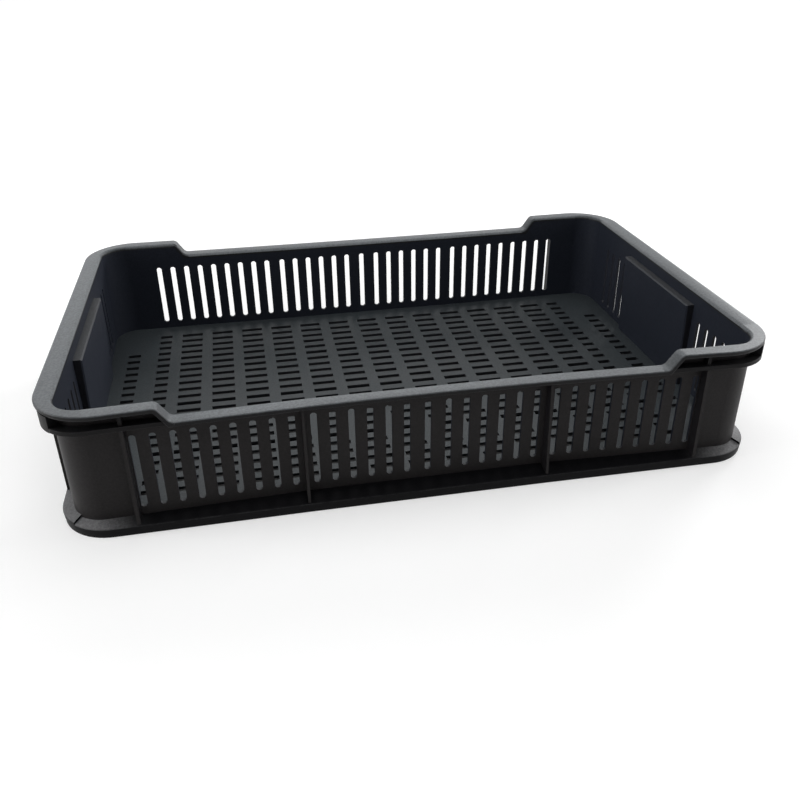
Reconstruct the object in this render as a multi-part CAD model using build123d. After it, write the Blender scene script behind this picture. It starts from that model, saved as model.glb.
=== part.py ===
from build123d import *
import math
import os

# Shallow vented harvest crate, stackable, moulded in black plastic.
# Millimetres, +Z up, long sides along X, front towards -Y.
# The origin is the centre of the footprint, on the ground.

# Rim: raised round the ends and corners, lowered along the middle of the long sides
rim_length = 600.0
rim_width = 390.0
rim_height = 111.0
rim_thickness = 4.0
rim_corner_radius = 47.0
rim_step_from_end = 92.0
rim_step_drop = 13.5
rim_step_run = 9.5
rim_bend_radius = 6.0
rim_mouth_chamfer = 2.2

# The long sides are drawn inwards as the moulding cools, the base flange least
front_bow = 7.7
back_bow = 2.2
base_bow = 1.8

# Walls: how far the rim stands out over their outer faces, and their own sizes
end_overhang = 12.8
side_overhang = 12.0
wall_thickness = 2.5
wall_corner_radius = 26.0

# Skirt under the raised end rim, and the ledge that carries it on along the long sides
skirt_end_setback = 3.5
skirt_side_setback = 3.0
skirt_thickness = 2.5
skirt_corner_radius = 35.0
gusset_setback = 2.0

# Base flange: an outward foot all round, its top falling away from the wall
base_end_setback = 2.5
base_side_setback = 1.5
base_draft = 0.8
base_corner_radius = 42.0
base_thickness = 2.5
base_fall = 3.0
end_flange_rise = 2.0

# Floor
floor_level = 11.5
floor_thickness = 2.5
floor_slot_length = 22.5
floor_slot_width = 6.2
floor_rows_from_side = 42.2
floor_half_rows = 11
floor_columns_from_end = 99.0
floor_half_columns = 6
short_slot_length = 12.8
short_columns_from_end = (70.0, 38.5)
short_columns_from_side = (30.0, 75.0)
floor_rib_thickness = 2.4
floor_rib_clearance = 3.0
columns_per_rib = 3
rows_per_rib = 6

# Slots in the long walls, in three groups parted by the middle ribs
wall_slot_width = 5.3
wall_slot_corner = 1.5
wall_slot_sill = 7.2
wall_slot_header = 9.0
wall_slots_from_end = 70.5
rib_gap_ratio = 1.15
inner_slots = 6
outer_slots = 9
shoulder_slots = 3

# Slots in the end walls, beside the grip panel
end_slots_from_side = 67.0
end_slots = 4

# Grip panel: the middle of each end wall stands inwards, under a flat ledge, and leans out towards its foot
grip_from_side = 125.0
grip_depth = 7.5
grip_lean = 2.8
grip_edge_chamfer = 1.2

# Upright ribs on the outside
corner_rib_thickness = 3.0
middle_rib_thickness = 2.2
rib_clearance = 1.1
rib_setback = 0.4

# Levels and half sizes that follow from the sizes above
half_length = rim_length / 2
half_width = rim_width / 2
plate_underside = rim_height - rim_thickness
ledge_top = rim_height - rim_step_drop
ledge_underside = ledge_top - rim_thickness
floor_underside = floor_level - floor_thickness
wall_half_length = half_length - end_overhang
wall_half_width = half_width - side_overhang
inner_half_length = wall_half_length - wall_thickness
inner_half_width = wall_half_width - wall_thickness
corner_x = wall_half_length - wall_corner_radius
corner_y = wall_half_width - wall_corner_radius
mitre_offset = wall_half_length - wall_half_width
grip_half = half_width - grip_from_side
panel_x = inner_half_length - grip_depth

# Places along the stepped rim
rim_step_start = half_length - rim_step_from_end
slope_angle = math.atan2(rim_step_drop, rim_step_run)
bend_shift = rim_thickness * math.tan(slope_angle / 2)
rim_split = rim_step_start - rim_step_run - rim_bend_radius * math.tan(slope_angle / 2)
ledge_start = rim_step_start + bend_shift - rim_step_run

# Places of the wall slots and of the ribs beside them
last_outer_slot = half_length - wall_slots_from_end
wall_slot_pitch = last_outer_slot / (2 * rib_gap_ratio + inner_slots + outer_slots - 2)
rib_gap = wall_slot_pitch * rib_gap_ratio
last_inner_slot = rib_gap + wall_slot_pitch * (inner_slots - 1)
first_outer_slot = last_inner_slot + rib_gap
shoulder_start = last_outer_slot - wall_slot_pitch * (shoulder_slots - 0.5)
last_end_slot = half_width - end_slots_from_side
middle_rib_x = (last_inner_slot + first_outer_slot) / 2
rib_from_slot = wall_slot_width / 2 + rib_clearance + corner_rib_thickness / 2
corner_rib_x = last_outer_slot + rib_from_slot
end_rib_y = last_end_slot + rib_from_slot

LEFT_RIGHT = {"left": -1, "right": 1}
FRONT_BACK = {"front": -1, "back": 1}


def bow_at(x, reach, bow):
    """How far a long side is drawn in at x, where bow is its most and reach is where it starts."""
    return bow * (1 - (x / reach) ** 2)


def curved_side(x, y, reach, bow):
    """Long side of a plan outline, drawn in on one even curve."""
    inward = -math.copysign(bow, y)
    end = y + bow_at(x, reach, inward)
    return ThreePointArc((-x, end), (0, y + inward), (x, end))


def panelled_side(x, y, reach, bow):
    """Long side of a plan outline, drawn in by straight stretches that meet at the middle ribs."""
    inward = -math.copysign(bow_at(middle_rib_x, reach, bow), y)
    end = y - inward * (x - reach) / (reach - middle_rib_x)
    turn = y + inward
    return Polyline((-x, end), (-middle_rib_x, turn), (middle_rib_x, turn), (x, end))


def outline(x, y, radius, side, front_bow, back_bow):
    """Plan outline, of half sizes x and y, with round corners and long sides drawn in between them."""
    front = side(x, -y, x - radius, front_bow)
    back = side(x, y, x - radius, back_bow)
    plan = make_face([front, Line(front @ 1, back @ 1), back, Line(back @ 0, front @ 0)])
    corners = [v for v in plan.vertices() if abs(abs(v.X) - x) < radius]
    return fillet(corners, radius)


def wall_outline(depth):
    """Plan outline of the wall, at a depth below its outer face."""
    x = wall_half_length - depth
    y = wall_half_width - depth
    return outline(x, y, wall_corner_radius - depth, panelled_side, front_bow, back_bow)


def skirt_outline(depth):
    """Plan outline of the skirt and ledge, at a depth below their outer face."""
    x = half_length - skirt_end_setback - depth
    y = half_width - skirt_side_setback - depth
    return outline(x, y, skirt_corner_radius - depth, curved_side, front_bow, back_bow)


def base_outline(depth, side=panelled_side):
    """Plan outline of the base flange's outer edge, at a depth below it."""
    x = half_length - base_end_setback - depth
    y = half_width - base_side_setback - depth
    return outline(x, y, base_corner_radius - depth, side, base_bow, base_bow)


def prism(plan, low, high):
    """Upright solid on a plan face, between two levels."""
    return Pos(0, 0, low) * extrude(plan, high - low)


def block(x_range, y_range, z_range):
    """Axis-aligned block between pairs of limits."""
    sizes = [high - low for low, high in (x_range, y_range, z_range)]
    middle = [(high + low) / 2 for low, high in (x_range, y_range, z_range)]
    return Pos(*middle) * Box(*sizes)


def span(sign, low, high):
    """Pair of limits on one side of the centre, in rising order."""
    return tuple(sorted((sign * low, sign * high)))


def side_bounds(side):
    """Everything on one side of the centre, out past the rim's edge, along one axis."""
    return span(side, 0, rim_length)


def below_rim(drop, shift, bend_radius=0):
    """Solid under the stepped line of the rim, lowered by drop, across the whole crate."""
    top = rim_height - drop
    low = ledge_top - drop
    outer = rim_step_start + shift
    inner = outer - rim_step_run
    far = rim_length
    profile = Polygon(
        (-far, 0), (far, 0), (far, top), (outer, top), (inner, low),
        (-inner, low), (-outer, top), (-far, top), align=None,
    )
    if bend_radius:
        profile = fillet([v for v in profile.vertices() if abs(v.X) < far], bend_radius)
    return extrude(Plane.XZ * profile, rim_width, both=True)


def mitred_quarter(axis, side):
    """Plan wedge, out from the centre, that ends on the 45 degree lines through the corners."""
    near = mitre_offset
    reach = rim_length
    far = near + reach
    if axis == "y":
        points = [(near, 0), (far, reach), (-far, reach), (-near, 0)]
    else:
        points = [(near, 0), (far, -reach), (far, reach)]
    turn = 0 if side > 0 else 180
    return extrude(Rot(0, 0, turn) * Polygon(*points, align=None), rim_height)


def upright_slots(positions, plane):
    """Cutters for a row of upright slots with blunted corners, through both facing walls."""
    bottom = floor_level + wall_slot_sill
    top = ledge_underside - wall_slot_header
    slot = Rectangle(wall_slot_width, top - bottom)
    slot = chamfer(slot.vertices(), wall_slot_corner)
    row = [Pos(x, (top + bottom) / 2) * slot for x in positions]
    return extrude(plane * (Sketch() + row), rim_length, both=True)


def leaning_pan(end_side, depth, reach):
    """Filled pan of the grip panel, out to a reach, at a depth below its inner faces."""
    profile = Polygon(
        (panel_x + depth, ledge_top - depth), (panel_x + grip_lean + depth, floor_level),
        (reach, floor_level), (reach, ledge_top - depth), align=None,
    )
    pan = extrude(Plane.XZ * profile, grip_half - depth, both=True)
    return pan if end_side > 0 else Rot(0, 0, 180) * pan


def flange_body(rise):
    """Solid under the base flange's outer surface: drafted skirt, then the fall from the wall."""
    foot = floor_level + rise
    edge = foot - base_fall
    skirt = loft([base_outline(base_draft), Pos(0, 0, edge) * base_outline(0)], ruled=True)
    fall = loft([Pos(0, 0, edge) * base_outline(0), Pos(0, 0, foot) * wall_outline(0)], ruled=True)
    return skirt + fall


def flange_hollow(rise):
    """Space under the base flange, flat on top, inside its skirt."""
    return prism(base_outline(base_thickness), 0, floor_level + rise - base_fall - base_thickness)


nodes = {}

# Bodies that several pieces are cut from or against
wall_filled = prism(wall_outline(0), 0, rim_height)
wall_hollow = prism(wall_outline(wall_thickness), 0, rim_height)
under_plate = below_rim(rim_thickness, bend_shift)
under_top = below_rim(0, 0, rim_bend_radius)
above_floor = block((-rim_length, rim_length), (-rim_length, rim_length), (floor_underside, rim_height))
wall_ring = (wall_filled - wall_hollow) & under_plate & above_floor

# Floor: a plate with rows of slots, closed in the corners
floor = prism(wall_outline(wall_thickness), floor_underside, floor_level)
row_pitch = (half_width - floor_rows_from_side) / (floor_half_rows - 0.5)
column_pitch = (half_length - floor_columns_from_end) / floor_half_columns
rows = [(row + 0.5) * row_pitch for row in range(-floor_half_rows, floor_half_rows)]
columns = [column * column_pitch for column in range(-floor_half_columns, floor_half_columns + 1)]
long_slot = Rectangle(floor_slot_length, floor_slot_width)
short_slot = Rectangle(short_slot_length, floor_slot_width)
floor_slots = [Pos(x, y) * long_slot for x in columns for y in rows]
for from_end, from_side in zip(short_columns_from_end, short_columns_from_side):
    x = half_length - from_end
    short_rows = [y for y in rows if abs(y) < half_width - from_side]
    floor_slots += [Pos(side * x, y) * short_slot for side in (-1, 1) for y in short_rows]
nodes["floor_grid"] = floor - prism(Sketch() + floor_slots, 0, rim_height)

# Stiffening lattice under the floor, in the plain strips between every few rows and columns
cross_ribs = [(column + 0.5) * column_pitch for column in range(0, floor_half_columns, columns_per_rib)]
last_column_edge = columns[-1] + floor_slot_length / 2
first_short_edge = half_length - short_columns_from_end[0] - short_slot_length / 2
cross_ribs += [(last_column_edge + first_short_edge) / 2]
long_ribs = [row * row_pitch for row in range(-rows_per_rib, rows_per_rib + 1, rows_per_rib)]
cross_ribs += [-x for x in cross_ribs]
strips = [Pos(x, 0) * Rectangle(floor_rib_thickness, rim_width) for x in cross_ribs]
strips += [Pos(0, y) * Rectangle(rim_length, floor_rib_thickness) for y in long_ribs]
nodes["floor_ribs"] = prism(Sketch() + strips, floor_rib_clearance, floor_underside) & wall_hollow

# Long walls: three groups of upright slots, the last few in the raised shoulders
slot_positions = [0]
slot_positions += [rib_gap + wall_slot_pitch * index for index in range(inner_slots)]
slot_positions += [first_outer_slot + wall_slot_pitch * index for index in range(outer_slots)]
slot_positions += [-x for x in slot_positions if x > 0]
long_wall_slots = upright_slots(slot_positions, Plane.XZ)
for name, side in FRONT_BACK.items():
    stretch = block((-shoulder_start, shoulder_start), side_bounds(side), (0, rim_height))
    nodes[f"{name}_wall"] = (wall_ring & stretch) - long_wall_slots
    for end, end_side in LEFT_RIGHT.items():
        stretch = block(span(end_side, shoulder_start, corner_x), side_bounds(side), (0, rim_height))
        nodes[f"{name}_{end}_shoulder"] = (wall_ring & stretch) - long_wall_slots

# End walls: a slotted panel on each side of the grip panel
end_slot_positions = [last_end_slot - wall_slot_pitch * index for index in range(end_slots)]
end_slot_positions += [-y for y in end_slot_positions]
end_wall_slots = upright_slots(end_slot_positions, Plane.YZ)
for end, end_side in LEFT_RIGHT.items():
    for name, side in FRONT_BACK.items():
        stretch = block(side_bounds(end_side), span(side, grip_half, corner_y), (0, rim_height))
        nodes[f"{end}_end_wall_{name}"] = (wall_ring & stretch) - end_wall_slots

# Corner posts: the round corners of the wall
for end, end_side in LEFT_RIGHT.items():
    for name, side in FRONT_BACK.items():
        stretch = block(
            span(end_side, corner_x, rim_length), span(side, corner_y, rim_length), (0, rim_height),
        )
        nodes[f"{name}_{end}_corner"] = wall_ring & stretch

# Grip panels: a shallow pan let into the end wall, open outwards, with the wall above and a sill below
for end, end_side in LEFT_RIGHT.items():
    pan = leaning_pan(end_side, 0, wall_half_length)
    inner_edges = [e for e in pan.edges() if abs(e.center().X) < panel_x + grip_lean]
    pan = chamfer([e for e in inner_edges if e.center().Z > floor_level], grip_edge_chamfer)
    recess = leaning_pan(end_side, wall_thickness, half_length)
    wall_span = span(end_side, inner_half_length, wall_half_length)
    header = block(wall_span, (-grip_half, grip_half), (ledge_top, plate_underside))
    sill = block(wall_span, (-grip_half, grip_half), (floor_underside, floor_level))
    nodes[f"{end}_grip_panel"] = (pan - recess) + header + sill

# Rim: one stepped plate round the mouth, in stretches that meet on flat faces
rim_edge = outline(half_length, half_width, rim_corner_radius, curved_side, front_bow, back_bow)
rim_plan = rim_edge - wall_outline(wall_thickness)
rim_ring = prism(rim_plan, 0, rim_height) & (under_top - under_plate)
top_edges = [e for f in rim_ring.faces() if f.normal_at().Z > 0 for e in f.edges()]
mouth_edges = [e for e in top_edges if wall_hollow.distance_to(Vertex(e @ 0.5)) < 0.01]
rim_ring = chamfer(mouth_edges, rim_mouth_chamfer)
rim_corner_y = half_width - rim_corner_radius
for end, end_side in LEFT_RIGHT.items():
    stretch = block(side_bounds(end_side), (-rim_corner_y, rim_corner_y), (0, rim_height))
    nodes[f"{end}_end_rim"] = rim_ring & stretch
    for name, side in FRONT_BACK.items():
        stretch = block(
            span(end_side, rim_split, rim_length), span(side, rim_corner_y, rim_length), (0, rim_height),
        )
        nodes[f"{name}_{end}_corner_rim"] = rim_ring & stretch
for name, side in FRONT_BACK.items():
    stretch = block((-rim_split, rim_split), side_bounds(side), (0, rim_height))
    nodes[f"{name}_middle_rim"] = rim_ring & stretch

# Ledges: the level of the lowered rim carried on under the raised corners
skirt_filled = prism(skirt_outline(0), ledge_underside, plate_underside)
ledge_ring = (prism(skirt_outline(0), ledge_underside, ledge_top) - wall_filled) & under_plate
for name, side in FRONT_BACK.items():
    quarter = mitred_quarter("y", side)
    for end, end_side in LEFT_RIGHT.items():
        stretch = block(span(end_side, ledge_start, rim_length), side_bounds(side), (0, rim_height))
        nodes[f"{name}_{end}_ledge"] = ledge_ring & quarter & stretch

# End skirts: the rim's outer face at each end, open below as a grip, closed at the corners by a web
skirt_ring = skirt_filled - prism(skirt_outline(skirt_thickness), 0, rim_height)
web_ring = skirt_filled - wall_filled
for end, end_side in LEFT_RIGHT.items():
    quarter = mitred_quarter("x", end_side)
    web_zone = quarter - Pos(end_side * skirt_thickness * math.sqrt(2), 0, 0) * quarter
    nodes[f"{end}_end_skirt"] = (skirt_ring & quarter) + (web_ring & web_zone)

# Base flange: a hollow foot in four stretches mitred at the corners, the end ones higher
long_flange_body = flange_body(0)
end_flange_body = flange_body(end_flange_rise)
long_flange = long_flange_body - flange_hollow(0) - wall_filled
end_flange = end_flange_body - flange_hollow(end_flange_rise) - wall_filled
for name, side in FRONT_BACK.items():
    nodes[f"{name}_base_flange"] = long_flange & mitred_quarter("y", side)
for end, end_side in LEFT_RIGHT.items():
    nodes[f"{end}_base_flange"] = end_flange & mitred_quarter("x", end_side)

# Upright ribs: from the base flange up to the ledge or rim, nearly as deep as both
rib_foot = base_outline(base_draft + rib_setback, curved_side)
rib_head = Pos(0, 0, ledge_underside) * skirt_outline(0)
rib_body = loft([rib_foot, rib_head], ruled=True) - wall_filled
channel_body = prism(skirt_outline(skirt_thickness), ledge_underside, plate_underside) - wall_filled
gusset_body = prism(skirt_outline(gusset_setback), ledge_top, plate_underside) - wall_filled
half_corner_rib = corner_rib_thickness / 2
half_middle_rib = middle_rib_thickness / 2
for name, side in FRONT_BACK.items():
    for end, end_side in LEFT_RIGHT.items():
        corner_slab = block(
            span(end_side, corner_rib_x - half_corner_rib, corner_rib_x + half_corner_rib),
            side_bounds(side), (0, rim_height),
        )
        middle_slab = block(
            span(end_side, middle_rib_x - half_middle_rib, middle_rib_x + half_middle_rib),
            side_bounds(side), (0, rim_height),
        )
        end_slab = block(
            side_bounds(end_side),
            span(side, end_rib_y - half_corner_rib, end_rib_y + half_corner_rib), (0, rim_height),
        )
        nodes[f"{name}_{end}_corner_rib"] = (rib_body & corner_slab) - long_flange_body
        nodes[f"{name}_{end}_middle_rib"] = (rib_body & middle_slab) - long_flange_body
        end_rib = (rib_body & end_slab) - end_flange_body
        nodes[f"{name}_{end}_end_rib"] = end_rib + (channel_body & end_slab)
        nodes[f"{name}_{end}_rim_gusset"] = gusset_body & corner_slab

os.makedirs("parts", exist_ok=True)
for name, solid in nodes.items():
    solid.label = name
    export_step(solid, f"parts/{name}.step")
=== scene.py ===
import math

import bmesh
import bpy
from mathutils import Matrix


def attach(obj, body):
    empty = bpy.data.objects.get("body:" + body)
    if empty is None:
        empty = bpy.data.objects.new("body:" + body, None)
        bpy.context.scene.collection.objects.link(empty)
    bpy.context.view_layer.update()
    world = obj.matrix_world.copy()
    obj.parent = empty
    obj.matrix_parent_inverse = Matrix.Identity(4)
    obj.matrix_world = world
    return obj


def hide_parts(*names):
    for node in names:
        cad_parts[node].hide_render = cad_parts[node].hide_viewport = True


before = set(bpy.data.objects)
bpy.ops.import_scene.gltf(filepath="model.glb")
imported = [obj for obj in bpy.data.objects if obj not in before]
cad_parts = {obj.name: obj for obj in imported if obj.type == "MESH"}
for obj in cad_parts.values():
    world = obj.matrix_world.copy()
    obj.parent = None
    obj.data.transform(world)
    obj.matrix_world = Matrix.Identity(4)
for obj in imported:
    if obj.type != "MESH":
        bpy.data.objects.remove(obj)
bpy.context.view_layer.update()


# Floor: a flat plate with rows of slots for air and water, on a lattice of stiffening ribs.
# Black polyethylene, moulded in one shot with the rest of the crate, and dulled by the produce
# that is dragged over it.

def add_node(tree, kind, sockets, **settings):
    """A shader node with its settings made, then its sockets given values or joined to other sockets."""
    node = tree.nodes.new("ShaderNode" + kind)
    for setting, value in settings.items():
        setattr(node, setting, value)
    for socket, value in sockets.items():
        if isinstance(value, bpy.types.NodeSocket):
            tree.links.new(value, node.inputs[socket])
        else:
            node.inputs[socket].default_value = value
    return node


def cloudy(tree, place, scale, detail, roughness=0.5):
    """Soft patches of uneven strength, finer as the scale grows."""
    sockets = {"Vector": place, "Scale": scale, "Detail": detail, "Roughness": roughness}
    return add_node(tree, "TexNoise", sockets).outputs["Fac"]


def spread(tree, value, low, high, to_low=0.0, to_high=1.0, curve="LINEAR"):
    """Spreads a value that runs from low to high over to_low to to_high, and holds it there beyond them."""
    sockets = {"Value": value, "From Min": low, "From Max": high, "To Min": to_low, "To Max": to_high}
    return add_node(tree, "MapRange", sockets, interpolation_type=curve).outputs["Result"]


def combined(tree, operation, first, second):
    """One value out of two, such as their product or the larger one."""
    return add_node(tree, "Math", {0: first, 1: second}, operation=operation).outputs["Value"]


def laid_over(tree, share, under, over, blend="MIX"):
    """A colour with a share of another one laid over it."""
    sockets = {"Factor": share, "A": under, "B": over}
    return add_node(tree, "Mix", sockets, data_type="RGBA", blend_type=blend).outputs["Result"]


def outside_share(tree, place, surface):
    """How far a face looks away from the middle of the crate, out of it."""
    inward_limit = 0.02
    outward_limit = 0.12
    level = add_node(tree, "VectorMath", {0: place, 1: (1.0, 1.0, 0.0)}, operation="MULTIPLY")
    sockets = {0: level.outputs["Vector"], 1: surface}
    outwards = add_node(tree, "VectorMath", sockets, operation="DOT_PRODUCT")
    return spread(tree, outwards.outputs["Value"], inward_limit, outward_limit)


def upward_share(tree, surface):
    """How far a face is turned up, towards the sun and the sky that light it."""
    steep = 0.15
    level = 0.95
    facing = add_node(tree, "SeparateXYZ", {"Vector": surface})
    return spread(tree, facing.outputs["Z"], steep, level)


def lit_corner_share(tree, place, middle_shade):
    """Whole at the ends of the crate and less along its middle: painted light on the corners, painted shade
    along the middle.
    """
    middle_ends = 0.225
    corner_starts = 0.275
    along = add_node(tree, "SeparateXYZ", {"Vector": place})
    from_middle = add_node(tree, "Math", {0: along.outputs["X"]}, operation="ABSOLUTE")
    return spread(
        tree, from_middle.outputs["Value"], middle_ends, corner_starts,
        to_low=1.0 - middle_shade, curve="SMOOTHSTEP")


def scuff_share(tree, place, strongest):
    """Short scuffs, drawn out along the crate and a little askew."""
    closeness = (14.0, 190.0, 60.0)
    askew = (0.0, 0.0, math.radians(7.0))
    scuff_starts = 0.60
    scuff_full = 0.78
    drawn_out = add_node(tree, "Mapping", {"Vector": place, "Scale": closeness, "Rotation": askew})
    streaks = cloudy(tree, drawn_out.outputs["Vector"], scale=1.0, detail=6.0, roughness=0.7)
    return spread(tree, streaks, scuff_starts, scuff_full, to_high=strongest)


def edge_share(tree, place):
    """Rubbing in places along the edges that the mesh marks as worn."""
    rub_starts = 0.35
    rub_full = 0.7
    strongest = 0.2
    marked = add_node(tree, "Attribute", {}, attribute_name="worn_edge").outputs["Fac"]
    patches = cloudy(tree, place, scale=60.0, detail=4.0, roughness=0.65)
    rubbed = spread(tree, patches, rub_starts, rub_full, to_high=strongest)
    return combined(tree, "MULTIPLY", marked, rubbed)


def speckles(tree, place, strength):
    """Fine specks of dust and of the mould's grain, lighter and darker than the plastic around them."""
    darkest = 0.37
    lightest = 0.63
    specks = cloudy(tree, place, scale=520.0, detail=3.0, roughness=0.7)
    return spread(tree, specks, darkest, lightest, to_low=1.0 - strength, to_high=1.0 + strength)


def mould_grain(tree, place):
    """The slight waves of a thin moulding, under the grain that the mould's surface leaves."""
    wave_depth = 0.0012
    grain_depth = 0.00015
    waves = cloudy(tree, place, scale=26.0, detail=1.0)
    wavy = add_node(tree, "Bump", {"Height": waves, "Strength": 0.25, "Distance": wave_depth})
    grain = cloudy(tree, place, scale=1300.0, detail=2.0)
    grained = add_node(tree, "Bump", {
        "Height": grain, "Strength": 0.35, "Distance": grain_depth, "Normal": wavy.outputs["Normal"]})
    return grained.outputs["Normal"]


def moulded_plastic(
        name, black, faded_and_lit_top, outward_colour, scuffs, speckle, roughness, specular, middle_shade=0.0):
    """Black plastic with a mould's grain: its tops pale, partly faded and partly painted sheen and light,
    and its outward faces in a colour of their own.
    """
    material = bpy.data.materials.new(name)
    material.use_nodes = True
    tree = material.node_tree
    place = add_node(tree, "TexCoord", {}).outputs["Object"]
    surface = add_node(tree, "NewGeometry", {}).outputs["Normal"]

    # The outward colour comes first and the pale top colour over it, in broad clouds. The pale tops are
    # partly fading by the sun and partly painted sheen and light from the sky.
    clouds = cloudy(tree, place, scale=9.0, detail=5.0, roughness=0.6)
    thin_cloud = 0.3
    thick_cloud = 0.7
    least_lit_top = 0.72
    uneven = spread(tree, clouds, thin_cloud, thick_cloud, to_low=least_lit_top)
    cloudy_top = combined(tree, "MULTIPLY", upward_share(tree, surface), uneven)
    lit_top_share = combined(tree, "MULTIPLY", cloudy_top, lit_corner_share(tree, place, middle_shade))
    # Outward faces take their own colour: on the rim near black, as painted shade; on the walls a warmer
    # grey than the bluish black inside, which is painted skylight.
    outward_toned = laid_over(tree, outside_share(tree, place, surface), (*black, 1.0), (*outward_colour, 1.0))
    colour = laid_over(tree, lit_top_share, outward_toned, (*faded_and_lit_top, 1.0))

    # Then what handling and stacking leave: pale scuffs, rubbed edges and specks of dust
    scuff_grey = (0.075, 0.075, 0.076, 1.0)
    rubbed_grey = (0.13, 0.13, 0.132, 1.0)
    scuffed = scuff_share(tree, place, scuffs)
    colour = laid_over(tree, scuffed, colour, scuff_grey)
    colour = laid_over(tree, edge_share(tree, place), colour, rubbed_grey)
    colour = laid_over(tree, 1.0, colour, speckles(tree, place, speckle), blend="MULTIPLY")

    # The gloss varies with the clouds, and the scuffs dull it
    glossier = roughness - 0.06
    duller = roughness + 0.08
    scuff_dulling = 0.25
    clouded = spread(tree, clouds, thin_cloud, thick_cloud, to_low=glossier, to_high=duller)
    dulled = add_node(tree, "Math", {0: scuffed, 1: scuff_dulling, 2: clouded}, operation="MULTIPLY_ADD")

    shader = tree.nodes["Principled BSDF"]
    shader.inputs["Specular IOR Level"].default_value = specular
    tree.links.new(colour, shader.inputs["Base Color"])
    tree.links.new(dulled.outputs["Value"], shader.inputs["Roughness"])
    tree.links.new(mould_grain(tree, place), shader.inputs["Normal"])
    return material


def finish_nodes(material, *endings):
    """Gives the CAD nodes whose names end so this material."""
    for name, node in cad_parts.items():
        if name.endswith(endings):
            node.data.materials.clear()
            node.data.materials.append(material)


floor_plastic = moulded_plastic(
    "floor_plastic",
    black=(0.016, 0.017, 0.020), faded_and_lit_top=(0.034, 0.041, 0.045), outward_colour=(0.016, 0.017, 0.020),
    scuffs=0.45, speckle=0.2, roughness=0.50, specular=0.25)
finish_nodes(floor_plastic, "floor_grid", "floor_ribs")


# Walls: thin slotted panels round the floor, closed at the round corners, with a plain grip panel
# let into each end, all moulded with the floor. Inside they are a bluish black, which is painted
# light: the tint of the cool skylight that falls into the crate. Outside they are a warmer grey.

wall_wear_and_light = {
    "faded_and_lit_top": (0.050, 0.052, 0.055), "outward_colour": (0.0245, 0.0226, 0.0230),
    "scuffs": 0.12, "speckle": 0.1, "roughness": 0.50, "specular": 0.12}
wall_plastic = moulded_plastic("wall_plastic", black=(0.018, 0.021, 0.030), **wall_wear_and_light)
finish_nodes(wall_plastic, "_wall", "_end_wall_front", "_end_wall_back")
finish_nodes(wall_plastic, "_shoulder", "_corner", "_grip_panel")


# Ribs: upright plates that stiffen the walls from outside, three to each corner of the crate. They
# are moulded with the walls and wear as they do, but their flanks are painted a darker, neutral
# black as painted shade, without the bluish tint of the walls.

rib_plastic = moulded_plastic("rib_plastic", black=(0.013, 0.012, 0.0135), **wall_wear_and_light)
finish_nodes(rib_plastic, "_rib")


# Ledges, gussets and skirts: the lower level of the rim under its raised stretches, and the plates
# that join the two levels, all moulded with the walls. They are painted darker than the rim, as
# painted shade for the shade that the rim above casts on them.

painted_shade_plastic = moulded_plastic(
    "painted_shade_plastic",
    black=(0.008, 0.008, 0.009), faded_and_lit_top=(0.012, 0.012, 0.013), outward_colour=(0.010, 0.0095, 0.010),
    scuffs=0.06, speckle=0.15, roughness=0.50, specular=0.1)
finish_nodes(painted_shade_plastic, "_gusset", "_skirt")


def outer_edges(stretch, out_axes):
    """The edges at which a face that looks out of the crate meets one that looks up or down."""
    most_lean = 0.3
    least_level = 0.5
    least_outward = 0.01

    def looks_out(face):
        middle = face.calc_center_median()
        outward = sum(face.normal[axis] * middle[axis] for axis in out_axes)
        return abs(face.normal.z) < most_lean and outward > least_outward

    def looks_up_or_down(face):
        return abs(face.normal.z) > least_level

    return [
        edge for edge in stretch.edges
        if any(looks_out(face) for face in edge.link_faces)
        and any(looks_up_or_down(face) for face in edge.link_faces)]


def round_off(stretch, out_axes, radius):
    """Rounds off the outer edges of a stretch of moulding, and marks the roundings as worn."""
    worn_edge = stretch.verts.layers.float.new("worn_edge")
    bevel = bmesh.ops.bevel(
        stretch, geom=outer_edges(stretch, out_axes), offset=radius, offset_type="OFFSET", segments=3,
        profile=0.5, affect="EDGES", clamp_overlap=False)
    round_faces = set(bevel["faces"])
    for vert in bevel["verts"]:
        if round_faces.issuperset(vert.link_faces):
            vert[worn_edge] = 1.0


same_point = 1e-5
same_plane = math.radians(0.05)
sharp_turn = math.radians(50.0)


def rounded_copy(name, material, out_axes, radius):
    """Stands for a CAD node: the same stretch of moulding, with its outer edges rounded off."""
    stretch = bmesh.new()
    stretch.from_mesh(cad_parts[name].data)
    bmesh.ops.remove_doubles(stretch, verts=stretch.verts, dist=same_point)
    bmesh.ops.dissolve_limit(stretch, angle_limit=same_plane, verts=stretch.verts, edges=stretch.edges)
    round_off(stretch, out_axes, radius)

    mesh = bpy.data.meshes.new(name + "_rounded")
    stretch.to_mesh(mesh)
    stretch.free()
    mesh.shade_smooth()
    mesh.set_sharp_from_angle(angle=sharp_turn)
    mesh.materials.append(material)
    piece = bpy.data.objects.new(mesh.name, mesh)
    bpy.context.scene.collection.objects.link(piece)
    flats = piece.modifiers.new("flat_faces", "WEIGHTED_NORMAL")
    flats.keep_sharp = True
    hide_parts(name)
    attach(piece, "root")


sides = ("front", "back")
ends = ("left", "right")

# The axes along which a stretch looks out of the crate: X at the ends and Y at the long sides
out_of_ends = (0,)
out_of_sides = (1,)
all_round = (0, 1)

ledge_edge_radius = 0.0007
for side in sides:
    for end in ends:
        rounded_copy(f"{side}_{end}_ledge", painted_shade_plastic, out_of_sides, ledge_edge_radius)


# Rim: a flat plate round the mouth, moulded with the walls and stepped down along the long sides.
# Stacking rubs it. Its top is painted pale grey, partly for the sun's fading and partly as painted
# sheen of the sky, and its outward faces are painted near black as painted shade. Its outer edges
# are rounded off, so that hands and other crates slide over it.

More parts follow.
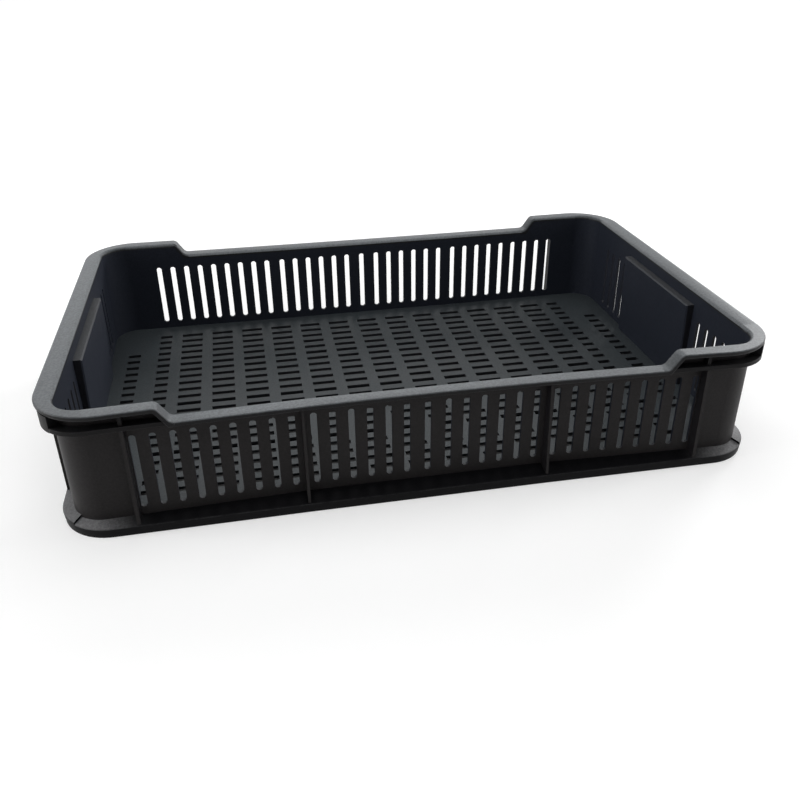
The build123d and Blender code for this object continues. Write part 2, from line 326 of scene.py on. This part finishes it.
rim_plastic = moulded_plastic(
    "rim_plastic",
    black=(0.016, 0.017, 0.019), faded_and_lit_top=(0.138, 0.149, 0.158), outward_colour=(0.006, 0.006, 0.007),
    scuffs=0.25, speckle=0.2, roughness=0.44, specular=0.16)
rim_edge_radius = 0.0012
for side in sides:
    rounded_copy(f"{side}_middle_rim", rim_plastic, out_of_sides, rim_edge_radius)
    for end in ends:
        rounded_copy(f"{side}_{end}_corner_rim", rim_plastic, all_round, rim_edge_radius)
for end in ends:
    rounded_copy(f"{end}_end_rim", rim_plastic, out_of_ends, rim_edge_radius)


# Base flange: the outward foot that the crate stands and stacks on, moulded with the walls and
# mitred at the corners. Its top is painted pale at the corners, as painted light from the sides,
# and near black along the long stretches, as painted shade under the rim.

foot_plastic = moulded_plastic(
    "foot_plastic",
    black=(0.004, 0.004, 0.005), faded_and_lit_top=(0.190, 0.190, 0.195), outward_colour=(0.005, 0.005, 0.006),
    scuffs=0.03, speckle=0.2, roughness=0.45, specular=0.08, middle_shade=1.0)
foot_edge_radius = 0.0010
for side in sides:
    rounded_copy(f"{side}_base_flange", foot_plastic, out_of_sides, foot_edge_radius)
for end in ends:
    rounded_copy(f"{end}_base_flange", foot_plastic, out_of_ends, foot_edge_radius)


# Studio paper: a wide white sheet, swept up into a wall all round, which keeps the crate's shadow.
# It is matt, and glows white where it is seen or mirrored, less so close to the crate.

def stage_piece(name, shape, albedo):
    """A piece of the studio from its finished shape, in matt grey."""
    mesh = bpy.data.meshes.new(name)
    shape.to_mesh(mesh)
    shape.free()
    mesh.shade_smooth()
    material = bpy.data.materials.new(name)
    material.use_nodes = True
    matt = material.node_tree.nodes["Principled BSDF"]
    matt.inputs["Base Color"].default_value = (albedo, albedo, albedo, 1.0)
    matt.inputs["Roughness"].default_value = 1.0
    matt.inputs["Specular IOR Level"].default_value = 0.0
    mesh.materials.append(material)
    piece = bpy.data.objects.new(name, mesh)
    bpy.context.scene.collection.objects.link(piece)
    return material.node_tree


def swept_paper(floor_reach, bend_radius, wall_height, bend_steps=8, turn_steps=64):
    """A round sheet: flat under the crate, bent up all round and on into an upright wall."""
    profile = [(0.0, 0.0), (floor_reach, 0.0)]
    for step in range(1, bend_steps + 1):
        turn = math.radians(90.0 * step / bend_steps)
        reach = floor_reach + bend_radius * math.sin(turn)
        profile.append((reach, bend_radius * (1.0 - math.cos(turn))))
    profile.append((floor_reach + bend_radius, wall_height))
    shape = bmesh.new()
    line = [shape.verts.new((reach, 0.0, level)) for reach, level in profile]
    line += [shape.edges.new(pair) for pair in zip(line, line[1:])]
    bmesh.ops.spin(
        shape, geom=line, cent=(0.0, 0.0, 0.0), axis=(0.0, 0.0, 1.0), angle=math.tau, steps=turn_steps,
        use_merge=True)
    bmesh.ops.remove_doubles(shape, verts=shape.verts, dist=same_point)
    bmesh.ops.recalc_face_normals(shape, faces=shape.faces)
    return shape


def glow_when_seen(tree, near, far, near_glow, far_glow):
    """A white glow that the eye and glossy or clear things see, and that lights nothing."""
    place = add_node(tree, "NewGeometry", {}).outputs["Position"]
    from_crate = add_node(tree, "VectorMath", {0: place}, operation="LENGTH").outputs["Value"]
    glow = spread(tree, from_crate, near, far, near_glow, far_glow, curve="SMOOTHSTEP")
    path = add_node(tree, "LightPath", {}).outputs
    seen_or_mirrored = combined(tree, "MAXIMUM", path["Is Camera Ray"], path["Is Glossy Ray"])
    seen_at_all = combined(tree, "MAXIMUM", seen_or_mirrored, path["Is Transmission Ray"])
    paper = tree.nodes["Principled BSDF"]
    paper.inputs["Emission Color"].default_value = (1.0, 1.0, 1.0, 1.0)
    tree.links.new(combined(tree, "MULTIPLY", glow, seen_at_all), paper.inputs["Emission Strength"])


paper_shape = swept_paper(floor_reach=6.5, bend_radius=1.5, wall_height=6.0)
paper_tree = stage_piece("studio_paper", paper_shape, albedo=0.60)
glow_when_seen(paper_tree, near=0.3, far=1.1, near_glow=0.47, far_glow=0.95)


# Painted shade under the crate: a dark sheet laid under it, with its corners cut off, a little
# smaller than the foot, which stands in for the shade under the floor. It only shows through the
# floor slots.

shade_sheet_level = 0.0004
shade_sheet_half_x = 0.290
shade_sheet_half_y = 0.186
shade_sheet_cut = 0.045
shade_sheet_corners = []
for turn_x, turn_y in ((-1, -1), (1, -1), (1, 1), (-1, 1)):
    along_side = (turn_x * (shade_sheet_half_x - shade_sheet_cut), turn_y * shade_sheet_half_y)
    along_end = (turn_x * shade_sheet_half_x, turn_y * (shade_sheet_half_y - shade_sheet_cut))
    shade_sheet_corners += [along_side, along_end] if turn_x * turn_y < 0 else [along_end, along_side]
shade_sheet_shape = bmesh.new()
shade_sheet_shape.faces.new([shade_sheet_shape.verts.new((x, y, shade_sheet_level)) for x, y in shade_sheet_corners])
stage_piece("painted_shade_sheet", shade_sheet_shape, albedo=0.08)


# Light: a dim white sky, a large soft box overhead, a white backdrop behind the crate, which the
# rim mirrors, boxes to the left, to the right and behind on the right, and a weak one in front.

sky_strength = 0.05
world = bpy.data.worlds.new("studio")
bpy.context.scene.world = world
world.use_nodes = True
world.node_tree.nodes["Background"].inputs["Color"].default_value = (1.0, 1.0, 1.0, 1.0)
world.node_tree.nodes["Background"].inputs["Strength"].default_value = sky_strength


def soft_box(name, place, size, power):
    """A square lamp that faces the crate."""
    lamp = bpy.data.lights.new(name, "AREA")
    lamp.size = size
    lamp.energy = power
    box = bpy.data.objects.new(name, lamp)
    bpy.context.scene.collection.objects.link(box)
    box.location = place
    box.rotation_euler = (-box.location).to_track_quat("-Z", "Y").to_euler()


soft_box("overhead_box", place=(-0.2, 0.3, 2.2), size=2.4, power=21.0)
soft_box("backdrop_box", place=(0.0, 4.5, 2.0), size=4.0, power=48.0)
soft_box("back_right_box", place=(3.0, 2.6, 1.6), size=1.2, power=76.0)
soft_box("left_box", place=(-2.2, -0.1, 0.8), size=1.2, power=26.0)
soft_box("right_box", place=(2.4, 0.0, 0.8), size=1.0, power=26.0)
soft_box("front_box", place=(0.0, -1.0, 2.0), size=1.6, power=9.0)


# Camera: at the front, a little to the left and above the crate, turned to the right and down on
# it, as in the photograph. The lens and the place were fitted to the photograph.

camera_place = (-0.12968, -0.73900, 0.41249)
camera_turn = (60.451, 0.504, -11.016)
lens = bpy.data.cameras.new("camera")
lens.sensor_width = 36.0
lens.lens = 37.333
camera = bpy.data.objects.new("camera", lens)
bpy.context.scene.collection.objects.link(camera)
camera.location = camera_place
camera.rotation_euler = [math.radians(angle) for angle in camera_turn]
bpy.context.scene.camera = camera
bpy.context.scene.view_settings.view_transform = "Standard"
